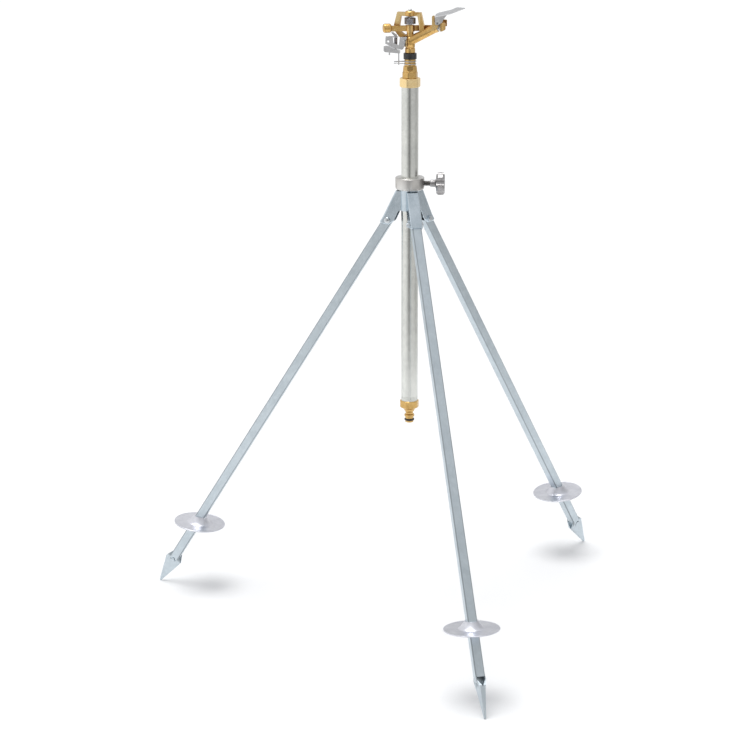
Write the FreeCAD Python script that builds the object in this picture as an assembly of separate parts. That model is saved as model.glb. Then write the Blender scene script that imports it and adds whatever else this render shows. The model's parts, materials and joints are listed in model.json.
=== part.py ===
import FreeCAD, Part

import math
import os

# Impact sprinkler on a folding tripod, millimetres.
# +Z is up, z = 0 is the ground at the leg tips, the riser's axis is the Z axis
# and the front leg points along -Y.

V = FreeCAD.Vector
X_AXIS = V(1, 0, 0)
Y_AXIS = V(0, 1, 0)
Z_AXIS = V(0, 0, 1)
ORIGIN = V(0, 0, 0)

RUN_GAP = 0.05        # radial play of every running fit
STOP_GAP = 0.1        # play left at a stop

# Tripod
LEG_AZIMUTHS = {"front": -90.0, "right": 30.0, "left": 150.0}
LEG_ANGLE = 31.9      # leg against the vertical when open
PIVOT_R = 34.8        # pivot bolt from the riser's axis
PIVOT_Z = 659.2
LEG_SIZE = 15.0       # square tube
LEG_WALL = 1.2
LEG_CORNER = 2.0
TIP_HALF = 1.5
SPEAR_LENGTH = 47.5   # shoulder to tip
SPEAR_HALF = 13.8     # half width at the shoulder
SPEAR_ROOT = 59.5     # start of the formed end, from the tip
SPEAR_SLIT = 61.0     # end of the square tube, from the tip
PINCH_START = 57.0    # the tube's walls bend inward here, from the tip
PINCH_END = 45.0      # and meet here
PINCH_HALF = 4.0      # half thickness where they meet
CHEVRON_TOP = 54.5    # V-shaped notch in each pinched wall, from the tip
CHEVRON_WIDTH = 2.5
CHEVRON_DROP = 5.5
CHEVRON_HALF = 5.0

# Foot discs
DISC_FROM_TIP = 134.0
DISC_R = 43.0
DISC_TILT = 6.8       # leans inward at the top
DISC_OFFSET = 4.6     # centre lies on the inner side of the leg's axis
DISC_HUB_TOP = 10.5
DISC_HUB_BASE = 21.5
DISC_HUB_HEIGHT = 12.0
DISC_SHEET = 1.5
DISC_BEAD = 1.1

# Leg brackets and hub
SHEET = 1.6
CHEEK_GAP = 0.4
BEND_R = 2.4          # outside of the pressed bends
BOLT_R = 3.0
SLEEVE_R = 15.3
SLEEVE_BORE = 13.8
SLEEVE_BOTTOM = 676.0
SLEEVE_TOP = 714.0
COLLAR_R = 23.0
COLLAR_BOTTOM = 710.0
COLLAR_TOP = 729.0

# Clamp screw
CLAMP_AZIMUTH = -18.0
CLAMP_Z = 719.2
STUD_R = 4.0
STUD_PITCH = 1.25
KNOB_R = 18.0
KNOB_NECK_START = 32.0
KNOB_START = 42.0
KNOB_END = 55.0
KNOB_LOBES = 5

# Riser
RISER_R = 13.45
RISER_BORE = 10.8
RISER_BOTTOM = 354.0
RISER_TOP = 881.0
THREAD_PITCH = 1.8
THREAD_DEPTH = 0.45

# Hose adapter, from the top down
ADAPTER_TOP = 362.3
ADAPTER_HEX_BOTTOM = 350.0
ADAPTER_AF = 28.6
ADAPTER_CORNER = 15.2
ADAPTER_NECK_TOP = 348.0
ADAPTER_NECK_Z = 341.5
ADAPTER_NECK_R = 6.1
FLANGE_R = 8.1
FLANGE_TOP = 337.6
FLANGE_BOTTOM = 334.6
LAND_R = 6.3
GLAND_R = 4.6
ORING_WIRE_R = 1.75
ORING_TOP = 331.0
ORING_BOTTOM = 327.4
ADAPTER_BOTTOM = 324.6
ADAPTER_BORE = 3.4

# Reducer and bearing
REDUCER_AF = 30.0
REDUCER_CORNER = 16.3
REDUCER_BOTTOM = 871.5
REDUCER_TOP = 885.5
NIPPLE_AF = 22.0
NIPPLE_CORNER = 12.1
NIPPLE_THREAD_R = 8.5
NIPPLE_THREAD_BOTTOM = 878.0
NIPPLE_HEX_TOP = 895.0
NIPPLE_TOP = 904.0
NIPPLE_BORE = 7.0
SLEEVE_BEARING_R = 8.7
SLEEVE_BEARING_TOP = 914.6
STEM_R = 5.0
STEM_BORE = 3.8
STEM_BOTTOM = 896.5
STEM_TOP = 936.0
WASHER_R = 6.6
SEAL_R = 10.3
SEAL_TOP = 923.9

# Friction collars
CLIP_WIRE_R = 0.7
CLIP_UPPER_Z = 911.4
CLIP_LOWER_Z = 907.1
CLIP_REACH = 25.0
CLIP_SPREAD = 1.6
CLIP_SIDE = 14.0      # each clip stands this far to one side of the trip wire

# Head, in its own frame: X runs along the barrel
HEAD_AZIMUTH = -29.0
BODY_BOTTOM = 924.2
BARREL_RISE = 27.0
BARREL_Z = 942.6
BARREL_R1 = 7.4
BARREL_R2 = 6.3
BARREL_LENGTH = 48.0
WATERWAY_R = 4.3
NOZZLE_ROOM_R = 6.7
YOKE_HALF = 3.5
YOKE_TOP = 987.0
BOSS_R = 7.6
PIN_R = 2.5
PIN_BOTTOM = 950.5
PIN_TOP = 992.0

# Arm, in the head's frame
ARM_ANGLE = 25.0
ARM_BOTTOM = 958.0
ARM_TOP = 966.6
ARM_HUB_R = 7.0
ARM_HALF = 2.5
BUSH_R = 4.2
WEIGHT_RADIUS = 36.2
WEIGHT_R = 7.1
WEIGHT_HALF = 6.6
WEIGHT_ROUND = 3.4
WEIGHT_Z = 963.0
ARM_REACH = 24.0
SPOON_X = 49.4
SPOON_Y = -0.5
SPOON_R = 6.9
SPOON_WALL = 1.4
SPOON_Z = 966.3
SPRING_R = 8.3
SPRING_WIRE_R = 0.7
SPRING_BOTTOM = 968.0
SPRING_TOP = 979.0

# Deflector
FLAP_SHEET = 1.0
FLAP_PITCH = 12.0
FLAP_ROLL = 17.0
FLAP_BEND = 10.4      # the blade's outer half is bent up by this much
FLAP_BEND_U = 25.0
FLAP_X = 41.5
FLAP_Z = 981.0
FLAP_PIVOT_X = 44.2
FLAP_PIVOT_Z = 971.8
FLAP_EAR_Y = -8.3
LUG_X = 36.2
LUG_RIGHT = 40.4
LUG_TOP = 983.2

# Trip mechanism
TRIP_X = -21.4
TRIP_Y = -6.0
TRIP_PIN_R = 1.5
PLATE_FRONT = -10.6
PLATE_SHEET = 1.4
TRIP_WIRE_X = -17.0
TRIP_WIRE_Y = -4.5
TRIP_WIRE_R = 0.8
TRIP_WIRE_BOTTOM = 905.6

os.makedirs("parts", exist_ok=True)


# ---------------------------------------------------------------- helpers

def write(shape, name):
    """Write one node."""
    shape.exportStep("parts/" + name + ".step")


def cylinder(radius, bottom, top, x=0.0, y=0.0):
    """Upright cylinder between two heights."""
    return Part.makeCylinder(radius, top - bottom, V(x, y, bottom))


def tube(outer, inner, bottom, top):
    """Upright tube on the Z axis."""
    return cylinder(outer, bottom, top).cut(cylinder(inner, bottom - 1, top + 1))


def box(x0, x1, y0, y1, z0, z1):
    """Box between two corners."""
    return Part.makeBox(x1 - x0, y1 - y0, z1 - z0, V(x0, y0, z0))


def side_prism(points, y0, y1):
    """Closed outline in X and Z, as thick as y0 to y1."""
    corners = [V(x, y0, z) for x, z in points]
    face = Part.Face(Part.makePolygon(corners + corners[:1]))
    return face.extrude(V(0, y1 - y0, 0))


def plan_prism(points, z0, z1):
    """Closed outline in X and Y, as high as z0 to z1."""
    corners = [V(x, y, z0) for x, y in points]
    face = Part.Face(Part.makePolygon(corners + corners[:1]))
    return face.extrude(V(0, 0, z1 - z0))


def lathe(points):
    """Closed outline of radius and height, turned about the Z axis."""
    corners = [V(radius, 0, z) for radius, z in points]
    face = Part.Face(Part.makePolygon(corners + corners[:1]))
    return face.revolve(ORIGIN, Z_AXIS, 360)


def hexagon(across, corner, bottom, top, bevel):
    """Upright hexagon with its corners turned to a radius and bevelled."""
    size = across / math.sqrt(3)
    angles = [math.radians(60 * k) for k in range(6)]
    outline = [(size * math.cos(a), size * math.sin(a)) for a in angles]
    drop = bevel * 0.6
    blank = lathe([(0, bottom), (corner - bevel, bottom), (corner, bottom + drop),
                   (corner, top - drop), (corner - bevel, top), (0, top)])
    return plan_prism(outline, bottom, top).common(blank)


def turned(shape, degrees, about=ORIGIN, axis=Z_AXIS):
    """Copy of a shape, turned."""
    copy = shape.copy()
    copy.rotate(about, axis, degrees)
    return copy


def rod(start, end, radius):
    """Round bar between two points."""
    run = end.sub(start)
    return Part.makeCylinder(radius, run.Length, start, run)


def wire_path(points, radius):
    """Round wire through points, with ball corners."""
    shape = rod(points[0], points[1], radius)
    for k in range(1, len(points) - 1):
        ball = Part.makeSphere(radius, points[k])
        shape = shape.fuse([ball, rod(points[k], points[k + 1], radius)])
    return shape.removeSplitter()


def close_coil(radius, wire_r, bottom, top, x=0.0, y=0.0):
    """Close-wound coil spring, drawn as touching rings."""
    count = int((top - bottom) / (1.8 * wire_r))
    step = (top - bottom - 2 * wire_r) / (count - 1)
    outside = []
    inside = []
    for k in range(count):
        for lean in (-50, 0, 50):
            reach = wire_r * math.cos(math.radians(lean))
            height = bottom + wire_r + k * step + wire_r * math.sin(math.radians(lean))
            outside.append((radius + reach, height))
            inside.append((radius - reach, height))
    shape = lathe(outside + inside[::-1])
    shape.translate(V(x, y, 0))
    return shape


def threads(outer, depth, pitch, first, last):
    """Rings to cut from a shaft on the Z axis as thread valleys."""
    count = int((last - first) / pitch)
    rings = []
    for k in range(count):
        low = first + k * pitch
        rings.append(lathe([(outer + 1, low), (outer - depth, low + pitch / 2),
                            (outer + 1, low + pitch)]))
    return rings


# ---------------------------------------------------------------- tripod

LEAN = math.radians(LEG_ANGLE)
LEG_LENGTH = (PIVOT_Z - TIP_HALF * math.sin(LEAN)) / math.cos(LEAN)
HALF = LEG_SIZE / 2


def on_leg(along, outward):
    """Radius and height of a point given from the pivot, down the leg."""
    radius = PIVOT_R + along * math.sin(LEAN) + outward * math.cos(LEAN)
    height = PIVOT_Z - along * math.cos(LEAN) + outward * math.sin(LEAN)
    return (radius, height)


def square_bar(half, corner, top, bottom):
    """Bar with rounded corners, hanging down the -Z axis."""
    bar = box(-half, half, -half, half, -bottom, -top)
    edges = [e for e in bar.Edges if abs(e.tangentAt(e.FirstParameter).z) > 0.99]
    return bar.makeFillet(corner, edges)


def thick_outline(steps):
    """Closed outline of half thickness and distance from the tip, as a bar across the leg."""
    near = [(half, LEG_LENGTH - place) for half, place in steps]
    return near + [(-half, along) for half, along in near[::-1]]


def across(outline, x0, x1):
    """Outline of thickness and distance down the leg, as wide as x0 to x1."""
    corners = [V(x0, y, -along) for y, along in outline]
    return Part.Face(Part.makePolygon(corners + corners[:1])).extrude(V(x1 - x0, 0, 0))


def leg_end():
    """The tube's end, pinched flat into an arrowhead, hanging down the -Z axis."""
    root = LEG_LENGTH - SPEAR_ROOT
    shoulder = LEG_LENGTH - SPEAR_LENGTH
    slit = LEG_LENGTH - SPEAR_SLIT
    outline = [(-HALF, -slit), (-HALF, -root), (-SPEAR_HALF, -shoulder),
               (-TIP_HALF, -LEG_LENGTH), (TIP_HALF, -LEG_LENGTH),
               (SPEAR_HALF, -shoulder), (HALF, -root), (HALF, -slit)]
    inner = HALF - LEG_WALL
    shape = side_prism(outline, -HALF, HALF)
    shape = shape.common(across(thick_outline([(HALF, SPEAR_SLIT), (HALF, PINCH_START),
                                               (PINCH_HALF, PINCH_END), (TIP_HALF, 0)]), -20, 20))
    hollow = thick_outline([(inner, SPEAR_SLIT + 1), (inner, PINCH_START), (0.2, PINCH_END + 1)])
    shape = shape.cut(across(hollow, -inner, 20))
    shape = shape.cut(across(hollow, -20, -HALF))
    return shape.cut(chevron())


def chevron():
    """V-shaped notch through both pinched walls."""
    top = CHEVRON_TOP - LEG_LENGTH
    low = top - CHEVRON_WIDTH
    outline = [(0, top), (CHEVRON_HALF, top - CHEVRON_DROP), (CHEVRON_HALF, low - CHEVRON_DROP),
               (0, low), (-CHEVRON_HALF, low - CHEVRON_DROP), (-CHEVRON_HALF, top - CHEVRON_DROP)]
    return side_prism(outline, -20, 20)


def upright_leg():
    """Leg hanging straight down from a pivot at the origin."""
    slit = LEG_LENGTH - SPEAR_SLIT
    bar = square_bar(HALF, LEG_CORNER, 0, slit)
    hollow = square_bar(HALF - LEG_WALL, LEG_CORNER - 1, -1, slit + 1)
    cheeks = Part.makeCylinder(HALF, LEG_SIZE, V(0, -HALF, 0), Y_AXIS)
    cheeks = cheeks.cut(box(-20, 20, -HALF + LEG_WALL, HALF - LEG_WALL, -20, 20))
    cheeks = cheeks.cut(box(-20, 20, -20, 20, -20, 0))
    shape = bar.cut(hollow).fuse([cheeks, leg_end()])
    hole = Part.makeCylinder(BOLT_R + RUN_GAP, 40, V(0, -20, 0), Y_AXIS)
    return shape.removeSplitter().cut(hole)


def open_leg():
    """Leg in its open position, in the plane of azimuth 0."""
    leg = upright_leg()
    leg.rotate(ORIGIN, Y_AXIS, -LEG_ANGLE)
    leg.translate(V(PIVOT_R, 0, PIVOT_Z))
    return leg


def foot_disc():
    """Dished foot disc, in the plane of azimuth 0."""
    t = DISC_SHEET
    steps = 7
    flare = []
    for k in range(steps + 1):
        radius = DISC_HUB_BASE + (DISC_HUB_TOP - DISC_HUB_BASE) * k / steps
        flare.append((radius, DISC_HUB_HEIGHT * (k / steps) ** 1.5))
    under = [(radius - 0.8, height) for radius, height in flare]
    over = [(radius, height + t) for radius, height in flare]
    disc = lathe([(DISC_R - DISC_BEAD, 0)] + under + [(0, DISC_HUB_HEIGHT)]
                 + [(0, DISC_HUB_HEIGHT + t)] + over[::-1] + [(DISC_R - DISC_BEAD, t)])
    bead = Part.makeTorus(DISC_R - DISC_BEAD, DISC_BEAD, V(0, 0, DISC_SHEET / 2))
    disc = disc.fuse(bead).removeSplitter()
    disc.rotate(ORIGIN, Y_AXIS, -DISC_TILT)
    radius, height = on_leg(LEG_LENGTH - DISC_FROM_TIP, -DISC_OFFSET)
    disc.translate(V(radius, 0, height))
    tool = square_bar(HALF, LEG_CORNER, 0, LEG_LENGTH)
    slot = box(-HALF - 1.5, 0, -HALF + 1, HALF - 1, -LEG_LENGTH, 0)
    tool = tool.fuse(slot)
    tool.rotate(ORIGIN, Y_AXIS, -LEG_ANGLE)
    tool.translate(V(PIVOT_R, 0, PIVOT_Z))
    return disc.cut(tool)


def outer_bend(edge, half):
    """Whether an edge of the bracket's blank runs down its outer side."""
    start, end = (v.Point for v in edge.Vertexes)
    level = abs(start.z - end.z) < 1
    outer = min(start.x, end.x) > 21
    return outer and not level and abs(abs(start.y) - half) < 0.1


def leg_bracket():
    """Pressed channel that holds one leg, in the plane of azimuth 0."""
    outer = HALF + STOP_GAP + SHEET
    inner = HALF + STOP_GAP
    half = HALF + CHEEK_GAP + SHEET
    bend = on_leg(-2, outer)
    lip = on_leg(9, outer)
    cheek = [(10, 707), (21.5, 707), bend, lip, on_leg(10.5, inner - 2),
             on_leg(5.5, -5.5), on_leg(-3, -9.5), (17.0, 674.5), (10, 677.5)]
    shape = side_prism(cheek, -half, half)
    bends = [e for e in shape.Edges if outer_bend(e, half)]
    shape = shape.makeFillet(BEND_R, bends)
    core = [(5, 720), (21.5 - SHEET * 1.1, 720), (21.5 - SHEET * 1.1, 707),
            on_leg(-2, inner), on_leg(30, inner), on_leg(30, -30), (5, 640)]
    shape = shape.cut(side_prism(core, -half + SHEET, half - SHEET))
    shape = shape.cut(cylinder(SLEEVE_R, 600, 760))
    hole = Part.makeCylinder(BOLT_R, 60, V(PIVOT_R, -30, PIVOT_Z), Y_AXIS)
    return shape.cut(hole)


def pivot_bolt():
    """Domed bolt through one bracket, in the plane of azimuth 0."""
    face = HALF + CHEEK_GAP + SHEET
    shank = Part.makeCylinder(BOLT_R, 2 * face + 4.6, V(0, -face - 4.6, 0), Y_AXIS)
    head = lathe([(0, 0), (5.2, 0), (5.2, 0.9), (4.3, 2.4), (2.4, 3.3), (0, 3.5)])
    head.rotate(ORIGIN, X_AXIS, -90)
    head.translate(V(0, face, 0))
    bolt = shank.fuse(head)
    bolt.translate(V(PIVOT_R, 0, PIVOT_Z))
    return bolt


def pivot_nut():
    """Hexagon nut on one bolt, in the plane of azimuth 0."""
    face = HALF + CHEEK_GAP + SHEET
    nut = hexagon(8.0, 4.5, 0, 3.6, 0.5).cut(cylinder(BOLT_R, -1, 5))
    nut.rotate(ORIGIN, X_AXIS, 90)
    nut.translate(V(PIVOT_R, -face, PIVOT_Z))
    return nut


def collar():
    """Cast collar that guides and clamps the riser."""
    shape = lathe([(RISER_R + RUN_GAP, SLEEVE_TOP), (RISER_R + RUN_GAP, COLLAR_TOP - 0.8),
                   (RISER_R + 0.9, COLLAR_TOP), (COLLAR_R - 0.9, COLLAR_TOP),
                   (COLLAR_R, COLLAR_TOP - 0.9), (COLLAR_R, COLLAR_BOTTOM + 3.2),
                   (COLLAR_R - 0.5, COLLAR_BOTTOM + 2.6), (COLLAR_R - 0.5, COLLAR_BOTTOM + 1.4),
                   (COLLAR_R - 1.8, COLLAR_BOTTOM), (SLEEVE_R, COLLAR_BOTTOM),
                   (SLEEVE_R, SLEEVE_TOP)])
    hole = Part.makeCylinder(STUD_R, 40, V(0, 0, CLAMP_Z), X_AXIS)
    return shape.cut(turned(hole, CLAMP_AZIMUTH))


def clamp_stud():
    """Threaded stud of the clamp screw."""
    start = RISER_R + STOP_GAP
    end = KNOB_START + 4
    major = STUD_R - RUN_GAP
    stud = lathe([(0, start), (major - 1, start), (major, start + 1), (major, end), (0, end)])
    for ring in threads(major, 0.6, STUD_PITCH, start + 1.5, KNOB_NECK_START - 0.5):
        stud = stud.cut(ring)
    return clamp_placed(stud)


def clamp_placed(shape):
    """Turn a shape built on the Z axis onto the clamp screw's axis."""
    shape.rotate(ORIGIN, Y_AXIS, 90)
    shape.translate(V(0, 0, CLAMP_Z))
    return turned(shape, CLAMP_AZIMUTH)


def clamp_knob():
    """Lobed die-cast knob of the clamp screw."""
    neck = lathe([(0, KNOB_NECK_START), (5.0, KNOB_NECK_START), (5.6, KNOB_NECK_START + 1),
                  (5.6, KNOB_START - 2), (8.5, KNOB_START), (8.5, KNOB_START + 2),
                  (0, KNOB_START + 2)])
    blank = lathe([(0, KNOB_START), (KNOB_R - 2.5, KNOB_START), (KNOB_R, KNOB_START + 2.5),
                   (KNOB_R, KNOB_END - 2.5), (KNOB_R - 2.5, KNOB_END), (0, KNOB_END)])
    for k in range(KNOB_LOBES):
        angle = math.radians(360 * (k + 0.5) / KNOB_LOBES)
        reach = KNOB_R + 2.4
        scoop = cylinder(7.2, KNOB_START - 1, KNOB_END + 1,
                         reach * math.cos(angle), reach * math.sin(angle))
        blank = blank.cut(scoop)
    knob = neck.fuse(blank).removeSplitter()
    knob = knob.cut(cylinder(STUD_R, KNOB_NECK_START - 1, KNOB_START + 4.1))
    return clamp_placed(knob)


def build_tripod():
    """Every piece that stays on, or folds from, the tripod's hub."""
    bolts = []
    nuts = []
    for side, azimuth in LEG_AZIMUTHS.items():
        write(turned(open_leg(), azimuth), "leg_" + side)
        write(turned(foot_disc(), azimuth), "foot_disc_" + side)
        write(turned(leg_bracket(), azimuth), "leg_bracket_" + side)
        bolts.append(turned(pivot_bolt(), azimuth))
        nuts.append(turned(pivot_nut(), azimuth))
    write(Part.makeCompound(bolts), "pivot_bolts")
    write(Part.makeCompound(nuts), "pivot_nuts")
    write(tube(SLEEVE_R, SLEEVE_BORE, SLEEVE_BOTTOM, SLEEVE_TOP), "hub_sleeve")
    write(collar(), "collar")
    write(clamp_stud(), "clamp_stud")
    write(clamp_knob(), "clamp_knob")


# ---------------------------------------------------------------- riser

def riser_tube():
    """Threaded riser tube."""
    shape = tube(RISER_R, RISER_BORE, RISER_BOTTOM, RISER_TOP)
    for ring in threads(RISER_R, THREAD_DEPTH, THREAD_PITCH, ADAPTER_TOP + 0.2, 370.0):
        shape = shape.cut(ring)
    return shape


def hose_adapter():
    """Hexagon union with a quick-connect nipple."""
    nut = hexagon(ADAPTER_AF, ADAPTER_CORNER, ADAPTER_HEX_BOTTOM, ADAPTER_TOP, 1.6)
    body = lathe([(0, ADAPTER_BOTTOM), (LAND_R - 0.4, ADAPTER_BOTTOM),
                  (LAND_R + 0.5, ADAPTER_BOTTOM + 0.8), (LAND_R + 0.5, ORING_BOTTOM),
                  (GLAND_R, ORING_BOTTOM), (GLAND_R, ORING_TOP), (LAND_R, ORING_TOP),
                  (LAND_R, FLANGE_BOTTOM), (FLANGE_R, FLANGE_BOTTOM), (FLANGE_R, FLANGE_TOP),
                  (ADAPTER_NECK_R, FLANGE_TOP + 1.4), (ADAPTER_NECK_R, ADAPTER_NECK_Z),
                  (10.2, ADAPTER_NECK_TOP), (13.6, ADAPTER_HEX_BOTTOM),
                  (13.6, ADAPTER_HEX_BOTTOM + 1), (0, ADAPTER_HEX_BOTTOM + 1)])
    shape = nut.fuse(body).removeSplitter()
    shape = shape.cut(cylinder(ADAPTER_BORE, 300, 400))
    return shape.cut(cylinder(RISER_R, RISER_BOTTOM - 2, 400))


def nipple_oring():
    """Rubber ring in the nipple's gland."""
    middle = (ORING_TOP + ORING_BOTTOM) / 2
    return Part.makeTorus(GLAND_R + ORING_WIRE_R, ORING_WIRE_R, V(0, 0, middle))


def reducer():
    """Big hexagon that joins the riser to the bearing nipple."""
    shape = hexagon(REDUCER_AF, REDUCER_CORNER, REDUCER_BOTTOM, REDUCER_TOP, 1.4)
    shape = shape.cut(cylinder(RISER_R, REDUCER_BOTTOM - 1, RISER_TOP))
    shape = shape.cut(cylinder(NIPPLE_THREAD_R, REDUCER_BOTTOM, REDUCER_TOP + 1))
    return turned(shape, HEAD_AZIMUTH + 27)


def bearing_nipple():
    """Hexagon nipple with a conical shoulder and two wrench slots."""
    nut = hexagon(NIPPLE_AF, NIPPLE_CORNER, REDUCER_TOP, NIPPLE_HEX_TOP, 1.0)
    body = lathe([(0, NIPPLE_THREAD_BOTTOM), (NIPPLE_THREAD_R, NIPPLE_THREAD_BOTTOM),
                  (NIPPLE_THREAD_R, REDUCER_TOP), (10.8, REDUCER_TOP), (10.8, NIPPLE_HEX_TOP),
                  (11.2, NIPPLE_HEX_TOP + 0.8), (11.2, NIPPLE_HEX_TOP + 2),
                  (10.3, NIPPLE_TOP), (0, NIPPLE_TOP)])
    shape = nut.fuse(body).removeSplitter()
    shape = shape.cut(cylinder(NIPPLE_BORE, 800, 1000))
    slot = box(-4.6, 4.6, -20, -8.6, 897.6, NIPPLE_TOP + 1)
    for k in range(2):
        shape = shape.cut(turned(slot, -14 + 180 * k))
    return shape


def bearing_sleeve():
    """Flanged bush, pressed into the nipple, that the friction collars grip."""
    return lathe([(STEM_R + RUN_GAP, 900.4), (NIPPLE_BORE, 900.4), (NIPPLE_BORE, NIPPLE_TOP),
                  (SLEEVE_BEARING_R, NIPPLE_TOP), (SLEEVE_BEARING_R, SLEEVE_BEARING_TOP),
                  (STEM_R + RUN_GAP, SLEEVE_BEARING_TOP)])


def friction_collar(z, side):
    """Spring-wire clip round the bearing sleeve, with a hairpin tab for a finger."""
    ring_r = SLEEVE_BEARING_R + RUN_GAP + CLIP_WIRE_R
    shape = Part.makeTorus(ring_r, CLIP_WIRE_R, V(0, 0, z))
    start_x = math.sqrt(ring_r ** 2 - CLIP_SPREAD ** 2)
    corners = [V(start_x, -CLIP_SPREAD, z), V(CLIP_REACH, -CLIP_SPREAD, z),
               V(CLIP_REACH, CLIP_SPREAD, z), V(start_x, CLIP_SPREAD, z)]
    shape = shape.fuse(wire_path(corners, CLIP_WIRE_R)).removeSplitter()
    trip = math.degrees(math.atan2(TRIP_WIRE_Y, TRIP_WIRE_X))
    return turned(shape, HEAD_AZIMUTH + trip + side)


def build_riser():
    """Every piece that slides with the riser, and the two clips on its bearing."""
    write(riser_tube(), "riser_tube")
    write(hose_adapter(), "hose_adapter")
    write(tube(RISER_R, RISER_BORE - 1.4, RISER_BOTTOM - 2, RISER_BOTTOM), "adapter_washer")
    write(nipple_oring(), "nipple_oring")
    write(reducer(), "reducer_hex")
    write(bearing_nipple(), "bearing_nipple")
    write(bearing_sleeve(), "bearing_sleeve")
    write(tube(SEAL_R, STEM_R + 0.4, SLEEVE_BEARING_TOP, SEAL_TOP), "seal_ring")
    write(friction_collar(CLIP_UPPER_Z, CLIP_SIDE), "friction_collar_upper")
    write(friction_collar(CLIP_LOWER_Z, -CLIP_SIDE), "friction_collar_lower")


# ---------------------------------------------------------------- head

RISE = math.radians(BARREL_RISE)
BARREL_DIR = V(math.cos(RISE), 0, math.sin(RISE))
BARREL_END = V(BARREL_LENGTH * math.cos(RISE), 0, BARREL_Z + BARREL_LENGTH * math.sin(RISE))


def head_placed(shape):
    """Turn a shape from the head's frame to its azimuth."""
    return turned(shape, HEAD_AZIMUTH)


def yoke():
    """Trapezium cage round the arm."""
    outer = [(-20.0, YOKE_TOP), (17.6, YOKE_TOP), (22.4, 967.0), (24.0, 955.5),
             (10.0, 944.0), (-6.0, 941.5), (-17.5, 949.5), (-24.6, 959.0), (-25.0, 967.5)]
    inner = [(-13.9, 981.0), (12.4, 981.0), (14.8, 967.0), (15.4, 957.8), (8.0, 953.4),
             (-8.0, 952.5), (-15.0, 957.6), (-16.0, 967.0)]
    cage = side_prism(outer, -YOKE_HALF, YOKE_HALF)
    return cage.cut(side_prism(inner, -YOKE_HALF, YOKE_HALF))


def flap_lug():
    """Cast lug beside the barrel's end that carries the deflector's rivet."""
    middle = (LUG_X + LUG_RIGHT) / 2
    half = (LUG_RIGHT - LUG_X) / 2
    post = box(LUG_X, LUG_RIGHT, -7.3, -3.0, 960.0, LUG_TOP - half)
    crown = Part.makeCylinder(half, 4.3, V(middle, -7.3, LUG_TOP - half), Y_AXIS)
    eye = Part.makeCylinder(3.6, 4.3, V(FLAP_PIVOT_X, -7.3, FLAP_PIVOT_Z), Y_AXIS)
    web = side_prism([(LUG_X, 960.0), (45.6, 964.5), (47.4, 970.4), (LUG_X, 975.4)], -7.3, -3.0)
    room = Part.makeCylinder(NOZZLE_ROOM_R, 20, BARREL_END, BARREL_DIR)
    return post.fuse([crown, eye, web]).cut(room)


def sprinkler_body():
    """Cast body: neck, barrel, yoke, pin bosses and bracket pad."""
    neck = lathe([(0, BODY_BOTTOM), (7.4, BODY_BOTTOM), (8.0, BODY_BOTTOM + 0.8), (8.0, 931.2),
                  (7.2, 931.9), (7.2, 933.0), (7.7, 933.8), (7.7, BARREL_Z), (0, BARREL_Z)])
    ball = Part.makeSphere(8.3, V(0, 0, BARREL_Z))
    barrel = Part.makeCone(BARREL_R1, BARREL_R2, BARREL_LENGTH, V(0, 0, BARREL_Z), BARREL_DIR)
    lip = Part.makeCylinder(7.0, 4.0, BARREL_END.sub(BARREL_DIR * 4), BARREL_DIR)
    lower = cylinder(5.4, BARREL_Z, 956.0)
    upper = lathe([(0, 980.4), (BOSS_R - 1.2, 980.4), (BOSS_R, 981.6), (BOSS_R, 987.6),
                   (BOSS_R - 1.4, 988.8), (0, 988.8)])
    pad = box(-10.0, -2.5, PLATE_FRONT + PLATE_SHEET, 0, 934.5, 947.0)
    shape = neck.fuse([ball, barrel, lip, yoke(), lower, upper, pad, flap_lug()])
    shape = shape.removeSplitter()
    shape = shape.cut(cylinder(STEM_R, BODY_BOTTOM - 1, STEM_TOP))
    shape = shape.cut(cylinder(WATERWAY_R, BODY_BOTTOM, BARREL_Z))
    shape = shape.cut(Part.makeSphere(WATERWAY_R, V(0, 0, BARREL_Z)))
    bore = Part.makeCylinder(WATERWAY_R, BARREL_LENGTH + 1, V(0, 0, BARREL_Z), BARREL_DIR)
    shape = shape.cut(bore)
    shape = shape.cut(cylinder(PIN_R, PIN_BOTTOM, PIN_TOP))
    for tool in bracket_screws() + [flap_pivot()]:
        shape = shape.cut(tool)
    return shape


def bearing_stem():
    """Flanged tube that hangs the head in its bearing."""
    return lathe([(STEM_BORE, STEM_BOTTOM), (WASHER_R, STEM_BOTTOM), (WASHER_R, STEM_BOTTOM + 2),
                  (STEM_R, STEM_BOTTOM + 2), (STEM_R, STEM_TOP), (STEM_BORE, STEM_TOP)])


def nozzle():
    """Hexagon nozzle in the barrel's end."""
    seat = 9.0
    hexes = hexagon(11.0, 6.2, 0, 3.2, 0.5)
    spigot = cylinder(WATERWAY_R, -seat, 0)
    tip = lathe([(0, 3.2), (5.0, 3.2), (4.4, 6.4), (0, 6.4)])
    shape = hexes.fuse([spigot, tip]).removeSplitter()
    shape = shape.cut(lathe([(0, -seat - 1), (3.4, -seat - 1), (3.4, -seat + 4), (2.2, 5.0),
                             (2.2, 8.0), (0, 8.0)]))
    shape.rotate(ORIGIN, Y_AXIS, 90 - BARREL_RISE)
    shape.translate(BARREL_END)
    return shape


def fulcrum_pin():
    """Pin through the yoke that carries the arm and its spring."""
    return lathe([(0, PIN_BOTTOM), (PIN_R, PIN_BOTTOM), (PIN_R, PIN_TOP - 0.8),
                  (PIN_R - 0.8, PIN_TOP), (0, PIN_TOP)])


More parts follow.
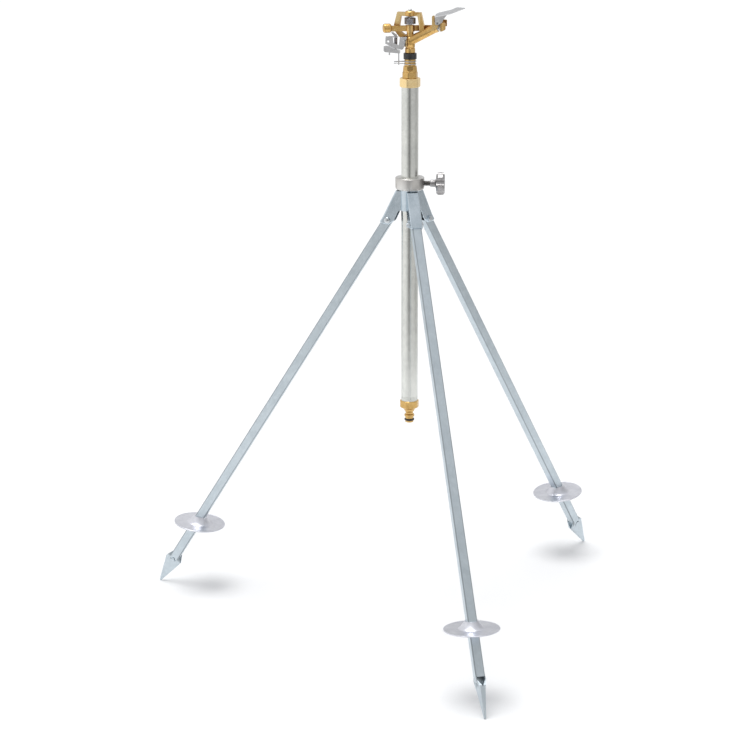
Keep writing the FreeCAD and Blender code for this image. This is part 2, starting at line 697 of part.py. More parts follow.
def arm_bar():
    """Straight bar through the arm's hub, bent to follow the barrel."""
    lean = math.radians(ARM_ANGLE)
    back = 30.0
    cos = math.cos(lean)
    sin = math.sin(lean)
    side = (-sin * ARM_HALF, cos * ARM_HALF)
    tail = (-back * cos, -back * sin)
    elbow = (ARM_REACH * cos, ARM_REACH * sin)
    outline = [(tail[0] - side[0], tail[1] - side[1]),
               (elbow[0] - side[0] + 0.8, elbow[1] - side[1]),
               (41.0, 9.2), (41.0, 13.4), (elbow[0] + side[0], elbow[1] + side[1]),
               (tail[0] + side[0], tail[1] + side[1])]
    return plan_prism(outline, ARM_BOTTOM, ARM_TOP)


def spoon():
    """Curved vane that the jet strikes, with its shank."""
    shank = side_prism([(34.5, ARM_BOTTOM + 2), (41.0, ARM_BOTTOM + 2), (56.0, 966.0),
                        (56.0, 975.5), (42.0, 977.0), (38.5, 979.5), (34.5, 979.5)], 9.2, 11.6)
    scoop = cylinder(SPOON_R, 950, 985, SPOON_X, SPOON_Y)
    scoop = scoop.cut(cylinder(SPOON_R - SPOON_WALL, 940, 990, SPOON_X, SPOON_Y))
    scoop = scoop.common(box(SPOON_X, 80, -20, 20, 950, 985))
    inner = SPOON_Y + SPOON_R - SPOON_WALL
    root = box(SPOON_X, SPOON_X + 3.0, inner, 11.6, 950, 985)
    side = Part.makeCylinder(SPOON_R + 0.1, 60, V(SPOON_X + 1.0, -30, SPOON_Z), Y_AXIS)
    return shank.fuse(scoop.fuse(root).common(side)).removeSplitter()


def arm():
    """Impact arm: hub, bar, counterweight and spoon."""
    lean = math.radians(ARM_ANGLE)
    hub = cylinder(ARM_HUB_R, ARM_BOTTOM - 0.6, ARM_TOP + 0.4)
    outward = V(-math.cos(lean), -math.sin(lean), 0)
    start = outward * (WEIGHT_RADIUS - WEIGHT_HALF) + V(0, 0, WEIGHT_Z)
    weight = Part.makeCylinder(WEIGHT_R, 2 * WEIGHT_HALF, start, outward)
    weight = weight.makeFillet(WEIGHT_ROUND, weight.Edges[:1] + weight.Edges[2:])
    shape = hub.fuse([arm_bar(), weight, spoon()]).removeSplitter()
    return shape.cut(cylinder(BUSH_R, 950, 970))


def arm_bush():
    """Flanged bush between the arm and the pin."""
    return lathe([(PIN_R + RUN_GAP, 956.1), (5.2, 956.1), (5.2, ARM_BOTTOM - 0.6),
                  (BUSH_R, ARM_BOTTOM - 0.6), (BUSH_R, ARM_TOP + 0.8),
                  (PIN_R + RUN_GAP, ARM_TOP + 0.8)])


def arm_spring():
    """Torsion coil that returns the arm."""
    return close_coil(SPRING_R, SPRING_WIRE_R, SPRING_BOTTOM, SPRING_TOP)


def flap_pivot():
    """Rivet that carries the deflector."""
    start = FLAP_EAR_Y - FLAP_SHEET - STOP_GAP
    return Part.makeCylinder(1.5, 5.0, V(FLAP_PIVOT_X, start, FLAP_PIVOT_Z), Y_AXIS)


def flap_rivet():
    """Rivet with its domed head."""
    head = lathe([(0, 0), (2.8, 0), (2.3, 0.9), (0, 1.3)])
    head.rotate(ORIGIN, X_AXIS, 90)
    head.translate(V(FLAP_PIVOT_X, FLAP_EAR_Y - FLAP_SHEET - STOP_GAP, FLAP_PIVOT_Z))
    return flap_pivot().fuse(head).removeSplitter()


def blade():
    """The deflector's two-part blade, lying flat along X before it is tilted."""
    bend = FLAP_BEND_U
    inner = plan_prism([(0, 0), (bend, 0), (bend, 17.0), (4, 14.5), (0, 10.5)], 0, FLAP_SHEET)
    outer = plan_prism([(bend, 0), (48.6, 0), (50.2, 1.4), (34.0, 18.0), (31.0, 18.6),
                        (bend, 17.0)], 0, FLAP_SHEET)
    outer.rotate(V(bend, 0, 0), Y_AXIS, -FLAP_BEND)
    return inner.fuse(outer).removeSplitter()


def deflector():
    """Folded plate: an ear beside the barrel and a blade above the jet."""
    top = blade()
    top.rotate(ORIGIN, X_AXIS, FLAP_ROLL)
    top.rotate(ORIGIN, Y_AXIS, -FLAP_PITCH)
    top.translate(V(FLAP_X, FLAP_EAR_Y - FLAP_SHEET, FLAP_Z))
    rise = math.tan(math.radians(FLAP_PITCH))
    ear = side_prism([(FLAP_X, 971.8), (43.2, 969.4), (46.4, 969.2), (52.8, 973.4),
                      (54.8, 977.6), (60.6, FLAP_Z + (60.6 - FLAP_X) * rise + 0.5),
                      (FLAP_X, FLAP_Z + 0.5)], FLAP_EAR_Y - FLAP_SHEET, FLAP_EAR_Y)
    hole = Part.makeCylinder(1.5 + RUN_GAP, 40, V(FLAP_PIVOT_X, -20, FLAP_PIVOT_Z), Y_AXIS)
    return ear.fuse(top).removeSplitter().cut(hole)


def trip_bracket():
    """Stamped bracket that carries the trip lever."""
    outline = [(-36.5, 949.8), (-27.0, 949.8), (-25.2, 947.6), (-24.4, 940.2), (-15.6, 936.6),
               (-13.6, 949.6), (-2.2, 949.6), (-8.6, 930.6), (-11.0, 929.8), (-24.0, 932.4),
               (-37.2, 938.6)]
    back = PLATE_FRONT + PLATE_SHEET
    plate = side_prism(outline, PLATE_FRONT, back)
    top_tab = box(-33.0, -18.0, PLATE_FRONT, -4.0, 948.4, 949.8)
    low_tab = box(-26.0, -16.5, PLATE_FRONT, -3.0, 933.4, 934.8)
    shape = plate.fuse([top_tab, low_tab]).removeSplitter()
    hole = Part.makeCylinder(1.7, 40, V(-32.4, -20, 942.0), Y_AXIS)
    shape = shape.cut(hole)
    shape = shape.cut(cylinder(TRIP_PIN_R + RUN_GAP, 925, 960, TRIP_X, TRIP_Y))
    for tool in bracket_screws():
        shape = shape.cut(tool)
    return shape


def bracket_screws():
    """Shanks of the two screws that hold the bracket on its pad."""
    return [Part.makeCylinder(1.3, 5.0, V(-6.4, PLATE_FRONT, z), Y_AXIS) for z in (937.6, 944.4)]


def bracket_screw_set():
    """The two bracket screws with their heads."""
    screws = []
    for shank in bracket_screws():
        head = lathe([(0, 0), (2.3, 0), (1.9, 1.0), (0, 1.4)])
        head.rotate(ORIGIN, X_AXIS, 90)
        head.translate(V(-6.4, PLATE_FRONT, shank.CenterOfMass.z))
        screws.append(shank.fuse(head).removeSplitter())
    return Part.makeCompound(screws)


def trip_lever():
    """Folded hammer under the bracket."""
    outline = [(-40.0, 934.2), (-33.0, 934.6), (-25.0, 931.0), (-15.0, 928.4), (-15.0, 923.8),
               (-38.0, 925.2), (-40.0, 927.0)]
    inner = [(-39.0, 933.1), (-33.2, 933.5), (-25.2, 929.9), (-16.0, 927.5), (-16.0, 920.0),
             (-39.0, 920.0)]
    shape = side_prism(outline, -9.6, -2.6).cut(side_prism(inner, -8.6, -3.6))
    nub = cylinder(1.2, 920.8, 925.6, -31.0, -9.0)
    cross = box(-23.4, -14.9, -8.7, -2.7, 924.4, 927.0)
    shape = shape.fuse([nub, cross]).removeSplitter()
    shape = shape.cut(cylinder(TRIP_PIN_R, 915, 940, TRIP_X, TRIP_Y))
    return shape.cut(cylinder(TRIP_WIRE_R, 915, 940, TRIP_WIRE_X, TRIP_WIRE_Y))


def trip_pin():
    """Upright shaft of the trip lever with its tongue on top."""
    shaft = cylinder(TRIP_PIN_R, 924.4, 952.0, TRIP_X, TRIP_Y)
    tongue = side_prism([(-28.5, 955.6), (-26.0, 956.2), (-20.0, 951.8), (-20.0, 950.2),
                         (-23.4, 950.2)], TRIP_Y - 1.8, TRIP_Y + 1.8)
    return shaft.fuse(tongue).removeSplitter()


def trip_wire():
    """Wire that meets the friction collars."""
    return cylinder(TRIP_WIRE_R, TRIP_WIRE_BOTTOM, 929.0, TRIP_WIRE_X, TRIP_WIRE_Y).cut(
        cylinder(2.0, 927.6, 940, TRIP_WIRE_X, TRIP_WIRE_Y))


def trip_spring():
    """Small coil round the trip lever's shaft."""
    return close_coil(2.3, 0.5, 935.0, 948.2, TRIP_X, TRIP_Y)


def build_head():
    """Every piece of the rotating head."""
    pieces = {
        "sprinkler_body": sprinkler_body(),
        "bearing_stem": bearing_stem(),
        "nozzle": nozzle(),
        "fulcrum_pin": fulcrum_pin(),
        "arm": arm(),
        "arm_bush": arm_bush(),
        "arm_spring": arm_spring(),
        "deflector": deflector(),
        "deflector_rivet": flap_rivet(),
        "trip_bracket": trip_bracket(),
        "bracket_screws": bracket_screw_set(),
        "trip_lever": trip_lever(),
        "trip_pin": trip_pin(),
        "trip_wire": trip_wire(),
        "trip_spring": trip_spring(),
        "thrust_washer": tube(WASHER_R, STEM_R + RUN_GAP, STEM_BOTTOM + 2.1, 900.3),
    }
    for name, shape in pieces.items():
        write(head_placed(shape), name)


build_tripod()
build_riser()
build_head()
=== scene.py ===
import json
import math

import bmesh
import bpy
from mathutils import Matrix, Vector

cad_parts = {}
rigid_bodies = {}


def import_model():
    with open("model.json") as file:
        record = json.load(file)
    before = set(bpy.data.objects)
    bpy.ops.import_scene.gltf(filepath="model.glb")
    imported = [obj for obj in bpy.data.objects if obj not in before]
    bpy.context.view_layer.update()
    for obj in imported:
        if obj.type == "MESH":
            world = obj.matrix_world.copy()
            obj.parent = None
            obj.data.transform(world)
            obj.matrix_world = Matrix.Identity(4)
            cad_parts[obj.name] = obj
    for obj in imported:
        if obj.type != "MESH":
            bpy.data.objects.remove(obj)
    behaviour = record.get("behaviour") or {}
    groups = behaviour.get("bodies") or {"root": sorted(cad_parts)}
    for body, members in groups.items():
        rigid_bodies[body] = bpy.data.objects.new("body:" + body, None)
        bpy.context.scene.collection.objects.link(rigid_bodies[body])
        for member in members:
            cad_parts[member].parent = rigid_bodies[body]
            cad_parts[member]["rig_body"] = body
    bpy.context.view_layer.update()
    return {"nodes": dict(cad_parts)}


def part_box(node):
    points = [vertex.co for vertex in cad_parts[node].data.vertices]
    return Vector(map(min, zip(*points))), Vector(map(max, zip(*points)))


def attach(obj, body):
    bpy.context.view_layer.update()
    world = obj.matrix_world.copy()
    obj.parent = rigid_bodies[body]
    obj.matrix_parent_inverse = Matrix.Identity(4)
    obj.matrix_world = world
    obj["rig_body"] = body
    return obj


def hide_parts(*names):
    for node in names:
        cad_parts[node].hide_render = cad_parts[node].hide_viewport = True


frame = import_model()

NODES = frame["nodes"]
BODY_OF = {n: o["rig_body"] for n, o in NODES.items()}
MM = 0.001

# Camera, in the row frame
VIEW_AZIMUTH = -13.745
VIEW_ELEVATION = 16.267
VIEW_DISTANCE = 3.4525
AIM_HEIGHT = 0.4038
AIM_SIDE = -0.05574
ROLL = -0.151
LENS = 102.34

# The legs, and the head's own direction
LEG_AZIMUTHS = {"front": -90.0, "right": 30.0, "left": 150.0}
LEG_ANGLE = 31.9
LEG_HALF = 7.5 * MM
PIVOT_R = 34.8 * MM
PIVOT_Z = 659.2 * MM
HEAD_AZIMUTH = -29.0

# A leg's painted dark reflection along its corners: where the dark band starts and is full, in
# from a face, and its tone
CORNER_REFLECTION_START = 2.0 * MM
CORNER_REFLECTION_FULL = 0.7 * MM
CORNER_REFLECTION_TONE = 0.52

# Painted shade, partly tarnish, in a casting's recesses: how far around a point looks, and with
# how many rays
SHADE_AND_TARNISH_REACH = 9 * MM
SHADE_AND_TARNISH_RAYS = 6

# Cleaning and easing of a node's mesh
WELD = 0.002 * MM
FLAT_ANGLE = math.radians(0.6)
EASE_ANGLE = math.radians(32.0)
EASE_SEGMENTS = 2
FACE_WEIGHT = 80

# The two springs: wire drawn as a helix that starts at an angle in radians
COIL_STEPS = 20
ARM_COIL = {"radius": 8.3 * MM, "wire_r": 0.7 * MM, "turns": 7.5, "start": 0.6}
TRIP_COIL = {"radius": 2.3 * MM, "wire_r": 0.45 * MM, "turns": 13.0, "start": 0.0}

# Studio
CIRCLE_SIDES = 96
FLOOR_R = 40.0
FLOOR_Z = -0.4 * MM
SCREEN_R = 1.5
SCREEN_HEIGHT = 1.25
SKY_COLOUR = (0.97, 0.98, 1.0, 1)
SKY_STRENGTH = 0.74
SUN_ENERGY = 1.45
SUN_ANGLE = 34
SUN_TILT = (-4, -8, 0)

# Degrees to the camera's right, and how bright the screen is there
SCREEN_BANDS = [(-180, 0.55), (-165, 0.85), (-120, 0.95), (-80, 1.0), (-50, 0.92), (-34, 0.62),
                (-22, 0.50), (-15, 0.24), (2, 0.24), (9, 0.52), (30, 0.66), (62, 0.62),
                (90, 0.50), (120, 0.60), (165, 0.85), (180, 0.55)]


# ---------------------------------------------------------------- node helpers

class Surface:
    """A material whose colour, gloss and relief come from procedural textures."""

    def __init__(self, name, metallic=0.0):
        self.material = bpy.data.materials.new(name)
        self.material.use_nodes = True
        self.tree = self.material.node_tree
        self.shader = self.tree.nodes["Principled BSDF"]
        self.shader.inputs["Metallic"].default_value = metallic
        self.coords = self.tree.nodes.new("ShaderNodeTexCoord").outputs["Object"]
        self.normal = None

    def feed(self, socket, value):
        """Link a socket to another node's output, or set it to a plain value."""
        if isinstance(value, bpy.types.NodeSocket):
            self.tree.links.new(value, socket)
        else:
            socket.default_value = value

    def node(self, kind, **inputs):
        """A new node with its inputs given by name, spaces written as underscores."""
        made = self.tree.nodes.new(kind)
        for key, value in inputs.items():
            self.feed(made.inputs[key.replace("_", " ")], value)
        return made

    def vector_math(self, operation, vector, amount):
        made = self.node("ShaderNodeVectorMath", Vector=vector)
        made.operation = operation
        made.inputs[1].default_value = amount
        return made.outputs["Vector"]

    def placed(self, scale=(1, 1, 1), turn=(0, 0, 0), move=(0, 0, 0)):
        """Object coordinates, moved, turned and stretched for a grain that has a direction."""
        out = self.coords
        if any(move):
            out = self.vector_math("SUBTRACT", out, move)
        if any(turn):
            spun = self.node("ShaderNodeVectorRotate", Vector=out)
            spun.rotation_type = "EULER_XYZ"
            spun.invert = True
            spun.inputs["Rotation"].default_value = turn
            out = spun.outputs["Vector"]
        if tuple(scale) != (1, 1, 1):
            out = self.vector_math("MULTIPLY", out, scale)
        return out

    def noise(self, scale, detail=4.0, roughness=0.55, vector=None):
        made = self.node("ShaderNodeTexNoise", Vector=vector or self.coords, Scale=scale,
                         Detail=detail, Roughness=roughness)
        return made.outputs["Fac"]

    def cells(self, scale, vector=None):
        made = self.node("ShaderNodeTexVoronoi", Vector=vector or self.coords, Scale=scale)
        return made.outputs["Color"]

    def clouds(self, scale, dark, pale, start=0.3, end=0.7, roughness=0.6):
        """A cloudy tone between two colours."""
        return self.ramp(self.noise(scale, 5.0, roughness), [(start, dark), (end, pale)])

    def math(self, operation, a, b=0.0):
        made = self.tree.nodes.new("ShaderNodeMath")
        made.operation = operation
        for socket, value in zip(made.inputs, (a, b)):
            self.feed(socket, value)
        return made.outputs[0]

    def to_range(self, fac, low, high, start=0.3, end=0.7):
        made = self.node("ShaderNodeMapRange", Value=fac, From_Min=start, From_Max=end,
                         To_Min=low, To_Max=high)
        return made.outputs["Result"]

    def ramp(self, fac, stops):
        made = self.node("ShaderNodeValToRGB", Fac=fac)
        band = made.color_ramp
        while len(band.elements) < len(stops):
            band.elements.new(0.5)
        for element, (place, colour) in zip(band.elements, stops):
            element.position = place
            element.color = (*colour, 1)
        return made.outputs["Color"]

    def mix(self, fac, a, b, blend="MIX"):
        made = self.tree.nodes.new("ShaderNodeMix")
        made.data_type = "RGBA"
        made.blend_type = blend
        sockets = [s for s in made.inputs if s.enabled]
        for socket, value in zip(sockets, (fac, a, b)):
            self.feed(socket, value)
        return [s for s in made.outputs if s.enabled][0]

    def bump(self, height, strength, distance):
        """Add one layer of relief over the ones already there."""
        made = self.node("ShaderNodeBump", Height=height, Strength=strength, Distance=distance)
        if self.normal is not None:
            self.tree.links.new(self.normal, made.inputs["Normal"])
        self.normal = made.outputs["Normal"]
        self.tree.links.new(self.normal, self.shader.inputs["Normal"])

    def colour(self, socket):
        self.tree.links.new(socket, self.shader.inputs["Base Color"])

    def gloss(self, socket):
        self.tree.links.new(socket, self.shader.inputs["Roughness"])


# ---------------------------------------------------------------- materials

def galvanised(name, pale, dark, rough, turn=(0, 0, 0), spangle=260.0, pivot=None):
    """Zinc-coated steel: a cloudy tone, faint spangle and fine lines along the part.

    A leg gives its pivot too, and a dark reflection is painted along its rolled corners.
    """
    s = Surface(name, metallic=1.0)
    lines = s.noise(880.0, 3.0, 0.6, s.placed(scale=(1, 1, 0.02), turn=turn))
    patches = s.cells(spangle, s.placed(scale=(1, 1, 0.6), turn=turn))
    tone = s.clouds(40.0, dark, pale, end=0.72)
    soft = s.node("ShaderNodeSeparateColor", Color=patches).outputs["Red"]
    shade = s.to_range(soft, 0.93, 1.0, 0.0, 1.0)
    tint = s.node("ShaderNodeCombineColor", Red=shade, Green=shade, Blue=shade).outputs["Color"]
    tone = s.mix(1.0, tone, tint, "MULTIPLY")
    # painted dark reflection: a dark band along each corner of a leg, in from both faces
    if pivot:
        across = s.node("ShaderNodeSeparateXYZ", Vector=s.placed(turn=turn, move=pivot)).outputs
        near = s.math("MINIMUM", s.math("ABSOLUTE", across["X"]), s.math("ABSOLUTE", across["Y"]))
        corner_reflection = s.to_range(near, 0.0, 1.0, LEG_HALF - CORNER_REFLECTION_START, LEG_HALF - CORNER_REFLECTION_FULL)
        tone = s.mix(corner_reflection, tone, (*(CORNER_REFLECTION_TONE * c for c in dark), 1))
    s.colour(tone)
    s.gloss(s.to_range(lines, *rough))
    s.bump(lines, 0.25, 0.06 * MM)
    s.bump(s.noise(900.0, 3.0), 0.2, 0.04 * MM)
    return s.material


def cast_metal(name, pale, dark, rough, worn, recess_shade_and_tarnish=None):
    """Die or sand casting: fine pitted grain, brighter high spots and any painted shade, partly
    tarnish, in recesses.
    """
    s = Surface(name, metallic=1.0)
    tone = s.clouds(95.0, dark, pale, start=0.28)
    edge = s.node("ShaderNodeNewGeometry").outputs["Pointiness"]
    tone = s.mix(s.to_range(edge, 0.0, 1.0, 0.52, 0.6), tone, (*worn, 1))
    # painted shade, partly tarnish: recesses darkened by ambient occlusion
    if recess_shade_and_tarnish:
        open_air = s.node("ShaderNodeAmbientOcclusion", Distance=SHADE_AND_TARNISH_REACH)
        open_air.samples = SHADE_AND_TARNISH_RAYS
        tone = s.mix(s.to_range(open_air.outputs["AO"], 0.0, 1.0, 0.35, 0.85), (*recess_shade_and_tarnish, 1), tone)
    s.colour(tone)
    s.gloss(s.to_range(s.noise(320.0), *rough))
    s.bump(s.noise(1400.0, 3.0, 0.6), 0.55, 0.12 * MM)
    s.bump(s.noise(180.0, 3.0), 0.4, 0.24 * MM)
    return s.material


def turned_metal(name, pale, dark, rough):
    """Lathe-turned stock: fine level rings over a cloudy tone."""
    s = Surface(name, metallic=1.0)
    rings = s.noise(3200.0, 2.0, 0.5, s.placed(scale=(0.02, 0.02, 1)))
    s.colour(s.clouds(140.0, dark, pale))
    s.gloss(s.to_range(rings, *rough))
    s.bump(rings, 0.35, 0.04 * MM)
    s.bump(s.noise(420.0, 3.0), 0.15, 0.06 * MM)
    return s.material


def rolled_sheet(name, pale, dark, rough, turn):
    """Cold-rolled sheet: long fine rolling lines and slight waves."""
    s = Surface(name, metallic=1.0)
    lines = s.noise(1500.0, 3.0, 0.6, s.placed(scale=(0.04, 1, 1), turn=turn))
    s.colour(s.clouds(120.0, dark, pale))
    s.gloss(s.to_range(lines, *rough))
    s.bump(lines, 0.3, 0.04 * MM)
    s.bump(s.noise(260.0, 3.0), 0.2, 0.1 * MM)
    return s.material


def rubber(name, pale, dark):
    """Moulded black rubber with a dusty bloom."""
    s = Surface(name)
    s.colour(s.clouds(240.0, dark, pale, 0.35, 0.75, roughness=0.65))
    s.gloss(s.to_range(s.noise(600.0, 3.0), 0.26, 0.42))
    s.bump(s.noise(2200.0, 3.0), 0.3, 0.05 * MM)
    return s.material


def leg_turn(azimuth):
    """Euler angles that carry the Z axis onto a leg."""
    lean = Matrix.Rotation(math.radians(-LEG_ANGLE), 3, "Y")
    return (Matrix.Rotation(math.radians(azimuth), 3, "Z") @ lean).to_euler("XYZ")


def leg_pivot(azimuth):
    """Where a leg's bolt crosses its axis."""
    a = math.radians(azimuth)
    return (PIVOT_R * math.cos(a), PIVOT_R * math.sin(a), PIVOT_Z)


LEG_PALE = (0.64, 0.71, 0.755)
LEG_DARK = (0.56, 0.63, 0.675)
SHEET_PALE = (0.66, 0.74, 0.80)
SHEET_DARK = (0.52, 0.60, 0.66)

# One finish for each slot, as pale tone, dark tone and range of roughness
MATERIALS = {
    "galvanised_disc": galvanised("galvanised_disc", (0.80, 0.81, 0.86), (0.66, 0.67, 0.73),
                                  (0.30, 0.42), spangle=180.0),
    "galvanised_sheet": galvanised("galvanised_sheet", SHEET_PALE, SHEET_DARK, (0.16, 0.30)),
    "galvanised_pipe": galvanised("galvanised_pipe", (0.80, 0.81, 0.77), (0.70, 0.71, 0.68),
                                  (0.16, 0.26)),
    "bolt_steel": turned_metal("bolt_steel", (0.74, 0.78, 0.80), (0.55, 0.58, 0.61), (0.18, 0.34)),
    "cast_zinc": cast_metal("cast_zinc", (0.66, 0.64, 0.61), (0.50, 0.49, 0.47), (0.32, 0.46),
                            worn=(0.74, 0.73, 0.71)),
    "dark_steel": turned_metal("dark_steel", (0.20, 0.19, 0.18), (0.10, 0.10, 0.10), (0.30, 0.48)),
    "brass_turned": turned_metal("brass_turned", (0.93, 0.66, 0.30), (0.80, 0.52, 0.20),
                                 (0.20, 0.32)),
    # the cast brass's recess colour is painted shade, partly tarnish
    "brass_cast": cast_metal("brass_cast", (0.82, 0.53, 0.20), (0.60, 0.36, 0.11), (0.22, 0.38),
                             worn=(0.95, 0.72, 0.36), recess_shade_and_tarnish=(0.30, 0.13, 0.03)),
    "black_rubber": rubber("black_rubber", (0.045, 0.045, 0.048), (0.012, 0.012, 0.013)),
    "nozzle_steel": turned_metal("nozzle_steel", (0.66, 0.64, 0.60), (0.46, 0.45, 0.42),
                                 (0.16, 0.30)),
    "stainless_sheet": rolled_sheet("stainless_sheet", (0.74, 0.74, 0.74), (0.58, 0.58, 0.59),
                                    (0.16, 0.30), turn=(0, 0, math.radians(HEAD_AZIMUTH))),
    "stainless_wire": turned_metal("stainless_wire", (0.58, 0.58, 0.58), (0.42, 0.42, 0.42),
                                   (0.16, 0.28)),
}

# Finishes for single pieces whose tone differs from the rest of their slot
# the knob's recess colour is painted shade in its scallops
KNOB_ZINC = cast_metal("knob_zinc", (0.44, 0.43, 0.43), (0.32, 0.31, 0.31), (0.28, 0.42),
                       worn=(0.72, 0.71, 0.70), recess_shade_and_tarnish=(0.16, 0.15, 0.15))
BRIGHT_BRASS = turned_metal("brass_bright", (1.0, 0.79, 0.43), (0.97, 0.71, 0.35), (0.22, 0.34))
DULL_BRASS = turned_metal("brass_dull", (0.74, 0.49, 0.19), (0.58, 0.36, 0.12), (0.20, 0.32))
SPRING_STEEL = turned_metal("spring_steel", (0.40, 0.39, 0.40), (0.24, 0.23, 0.24), (0.16, 0.28))
LEG_MATERIALS = {side: galvanised("galvanised_leg_" + side, LEG_PALE, LEG_DARK, (0.30, 0.46),
                                  turn=leg_turn(azimuth), pivot=leg_pivot(azimuth))
                 for side, azimuth in LEG_AZIMUTHS.items()}


# ---------------------------------------------------------------- meshes

def added(name, data):
    """A new object in the scene."""
    made = bpy.data.objects.new(name, data)
    bpy.context.scene.collection.objects.link(made)
    return made


def as_mesh(name, bm):
    """A new mesh from a finished bmesh, which is freed."""
    mesh = bpy.data.meshes.new(name)
    bm.to_mesh(mesh)
    bm.free()
    return mesh


def piece(name, mesh, node, material):
    """Add a finished mesh that stands for a CAD node."""
    made = added(name, mesh)
    mesh.materials.clear()
    mesh.materials.append(material)
    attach(made, BODY_OF[node])
    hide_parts(node)
    return made


def clean_copy(node):
    """Copy of a node's mesh with its split corners joined and its flat faces made whole."""
    bm = bmesh.new()
    bm.from_mesh(NODES[node].data)
    bmesh.ops.remove_doubles(bm, verts=bm.verts, dist=WELD)
    bmesh.ops.dissolve_limit(bm, angle_limit=FLAT_ANGLE, verts=bm.verts, edges=bm.edges)
    mesh = as_mesh(node + "_piece", bm)
    for key in ("custom_normal", "sharp_edge", "sharp_face"):
        if key in mesh.attributes:
            mesh.attributes.remove(mesh.attributes[key])
    mesh.shade_smooth()
    return mesh


def eased(node, slot, width, material=None):
    """The node's own shape with its sharp edges broken, as a press, mould or file leaves them."""
    made = piece(node + "_shell", clean_copy(node), node, material or MATERIALS[slot])
    bevel = made.modifiers.new("edge", "BEVEL")
    bevel.width = width
    bevel.segments = EASE_SEGMENTS
    bevel.limit_method = "ANGLE"
    bevel.angle_limit = EASE_ANGLE
    bevel.miter_outer = "MITER_ARC"
    bevel.face_strength_mode = "FSTR_AFFECTED"
    weighted = made.modifiers.new("shading", "WEIGHTED_NORMAL")
    weighted.weight = FACE_WEIGHT
    weighted.use_face_influence = True


def helix(radius, bottom, top, turns, start, centre):
    """Points along a helix between two heights."""
    count = int(turns * COIL_STEPS)
    points = []
    for k in range(count + 1):
        a = start + 2 * math.pi * turns * k / count
        x = centre[0] + radius * math.cos(a)
        y = centre[1] + radius * math.sin(a)
        points.append((x, y, bottom + (top - bottom) * k / count))
    return points


def coil(name, node, bottom, top, radius, wire_r, turns, start, centre=(0, 0)):
    """Helical spring of round wire between two heights."""
    points = helix(radius, bottom + wire_r, top - wire_r, turns, start, centre)
    curve = bpy.data.curves.new(name, "CURVE")
    curve.dimensions = "3D"
    curve.bevel_depth = wire_r
    curve.bevel_resolution = 3
    curve.use_fill_caps = True
    spline = curve.splines.new("POLY")
    spline.points.add(len(points) - 1)
    for point, place in zip(spline.points, points):
        point.co = (*place, 1)
    line = added(name + "_line", curve)
    bpy.context.view_layer.update()
    drawn = line.evaluated_get(bpy.context.evaluated_depsgraph_get())
    mesh = bpy.data.meshes.new_from_object(drawn)
    bpy.data.objects.remove(line)
    mesh.shade_smooth()
    piece(name, mesh, node, SPRING_STEEL)


# Carried-over nodes first get their slot's finish
for node, made in NODES.items():
    slot = made.data.materials[0].name.split(".")[0]
    if node.startswith("leg_") and slot == "galvanised_leg":
        made.data.materials[0] = LEG_MATERIALS[node[4:]]
    else:
        made.data.materials[0] = MATERIALS[slot]

# Each eased node's slot, and the width of its broken edges in mm
SOFT_EDGES = {
    "sprinkler_body": ("brass_cast", 0.5), "arm": ("brass_cast", 0.55),
    "collar": ("cast_zinc", 0.4),
    "nozzle": ("nozzle_steel", 0.15),
    "trip_bracket": ("stainless_sheet", 0.25), "trip_lever": ("stainless_sheet", 0.7),
    "deflector": ("stainless_sheet", 0.2), "trip_pin": ("stainless_wire", 0.2),
    "seal_ring": ("black_rubber", 0.5),
    "pivot_bolts": ("bolt_steel", 0.2), "pivot_nuts": ("bolt_steel", 0.2),
    "hub_sleeve": ("galvanised_sheet", 0.3),
}
for side in LEG_AZIMUTHS:
    SOFT_EDGES["leg_bracket_" + side] = ("galvanised_sheet", 0.5)
    SOFT_EDGES["foot_disc_" + side] = ("galvanised_disc", 0.3)
for node, (slot, width) in SOFT_EDGES.items():
    eased(node, slot, width * MM)
for side, material in LEG_MATERIALS.items():
    eased("leg_" + side, "galvanised_leg", 0.3 * MM, material)
eased("clamp_knob", "cast_zinc", 1.1 * MM, KNOB_ZINC)
eased("reducer_hex", "brass_turned", 0.25 * MM, BRIGHT_BRASS)
for node in ("bearing_nipple", "bearing_sleeve", "hose_adapter"):
    eased(node, "brass_turned", 0.25 * MM, DULL_BRASS)

low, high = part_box("arm_spring")
coil("arm_spring_coil", "arm_spring", low.z, high.z, **ARM_COIL)
low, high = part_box("trip_spring")
middle = (low + high) / 2
coil("trip_spring_coil", "trip_spring", low.z, high.z, centre=(middle.x, middle.y), **TRIP_COIL)


# ---------------------------------------------------------------- studio

def floor():
    """Plain pale floor, just under the tips of the legs."""
    bm = bmesh.new()
    bmesh.ops.create_circle(bm, cap_ends=True, segments=CIRCLE_SIDES, radius=FLOOR_R)
    mesh = as_mesh("studio_floor", bm)
    made = added("studio_floor", mesh)
    made.location.z = FLOOR_Z
    s = Surface("studio_floor")
    s.colour(s.ramp(s.noise(1.2, 2.0), [(0.3, (0.90, 0.90, 0.90)), (0.7, (0.92, 0.92, 0.92))]))
    s.shader.inputs["Roughness"].default_value = 0.9
    s.shader.inputs["Specular IOR Level"].default_value = 0.1
    mesh.materials.append(s.material)


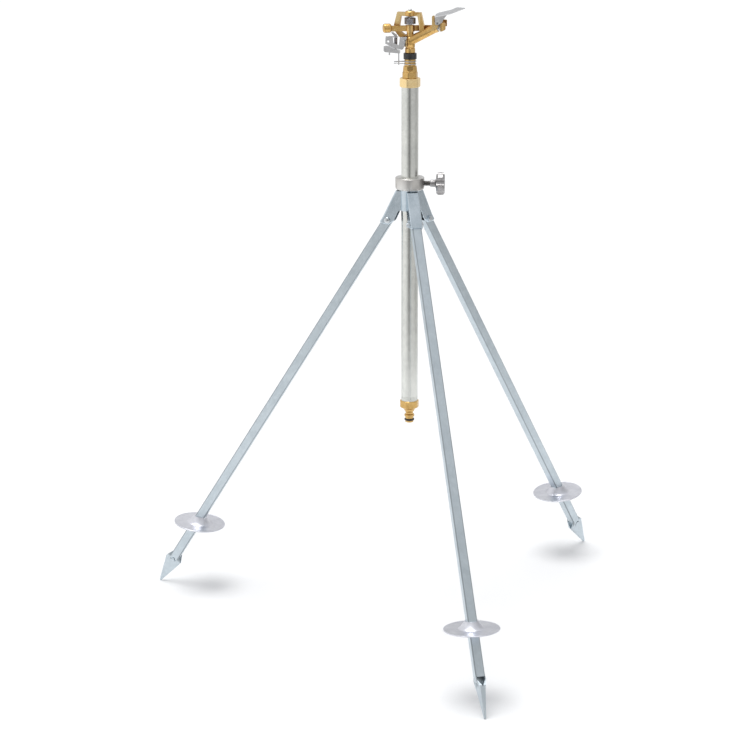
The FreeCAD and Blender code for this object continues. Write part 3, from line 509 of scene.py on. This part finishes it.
def screen():
    """Round studio screen that only reflections see, as pale and dark upright bands."""
    bm = bmesh.new()
    bmesh.ops.create_circle(bm, segments=CIRCLE_SIDES, radius=SCREEN_R)
    grown = bmesh.ops.extrude_edge_only(bm, edges=bm.edges[:])["geom"]
    rim = [v for v in grown if isinstance(v, bmesh.types.BMVert)]
    bmesh.ops.translate(bm, vec=(0, 0, SCREEN_HEIGHT), verts=rim)
    mesh = as_mesh("studio_screen", bm)
    made = added("studio_screen", mesh)
    made.rotation_euler.z = math.radians(VIEW_AZIMUTH - 90)
    s = Surface("studio_screen")
    angle = s.node("ShaderNodeTexGradient", Vector=s.coords)
    angle.gradient_type = "RADIAL"
    stops = [(0.5 + turn / 360, (tone, tone, tone)) for turn, tone in SCREEN_BANDS]
    glow = s.node("ShaderNodeEmission", Color=s.ramp(angle.outputs["Fac"], stops), Strength=1.0)
    output = s.tree.nodes["Material Output"]
    s.tree.links.new(glow.outputs["Emission"], output.inputs["Surface"])
    mesh.materials.append(s.material)
    for ray in ("camera", "shadow", "diffuse", "transmission"):
        setattr(made, "visible_" + ray, False)


def studio():
    """Floor, screen, even sky and one soft overhead sun."""
    floor()
    screen()
    world = bpy.data.worlds.new("studio")
    bpy.context.scene.world = world
    world.use_nodes = True
    backdrop = world.node_tree.nodes["Background"]
    backdrop.inputs["Color"].default_value = SKY_COLOUR
    backdrop.inputs["Strength"].default_value = SKY_STRENGTH
    data = bpy.data.lights.new("overhead", "SUN")
    data.energy = SUN_ENERGY
    data.angle = math.radians(SUN_ANGLE)
    made = added("overhead", data)
    made.rotation_euler = [math.radians(a) for a in SUN_TILT]
    view = bpy.context.scene.view_settings
    view.view_transform = "Standard"
    view.look = "None"


def camera():
    """Long lens at the photographer's height, turned a hair off level."""
    a, e, r = (math.radians(x) for x in (VIEW_AZIMUTH, VIEW_ELEVATION, ROLL))
    back = Vector((math.sin(a) * math.cos(e), -math.cos(a) * math.cos(e), math.sin(e)))
    level = Vector((math.cos(a), math.sin(a), 0))
    upward = back.cross(level)
    right = level * math.cos(r) + upward * math.sin(r)
    up = upward * math.cos(r) - level * math.sin(r)
    place = level * AIM_SIDE + Vector((0, 0, AIM_HEIGHT)) + back * VIEW_DISTANCE
    data = bpy.data.cameras.new("camera")
    data.sensor_width = 36.0
    data.lens = LENS
    made = added("camera", data)
    turn = Matrix((right, up, back)).transposed().to_4x4()
    made.matrix_world = Matrix.Translation(place) @ turn
    bpy.context.scene.camera = made


studio()
camera()

bpy.context.view_layer.update()
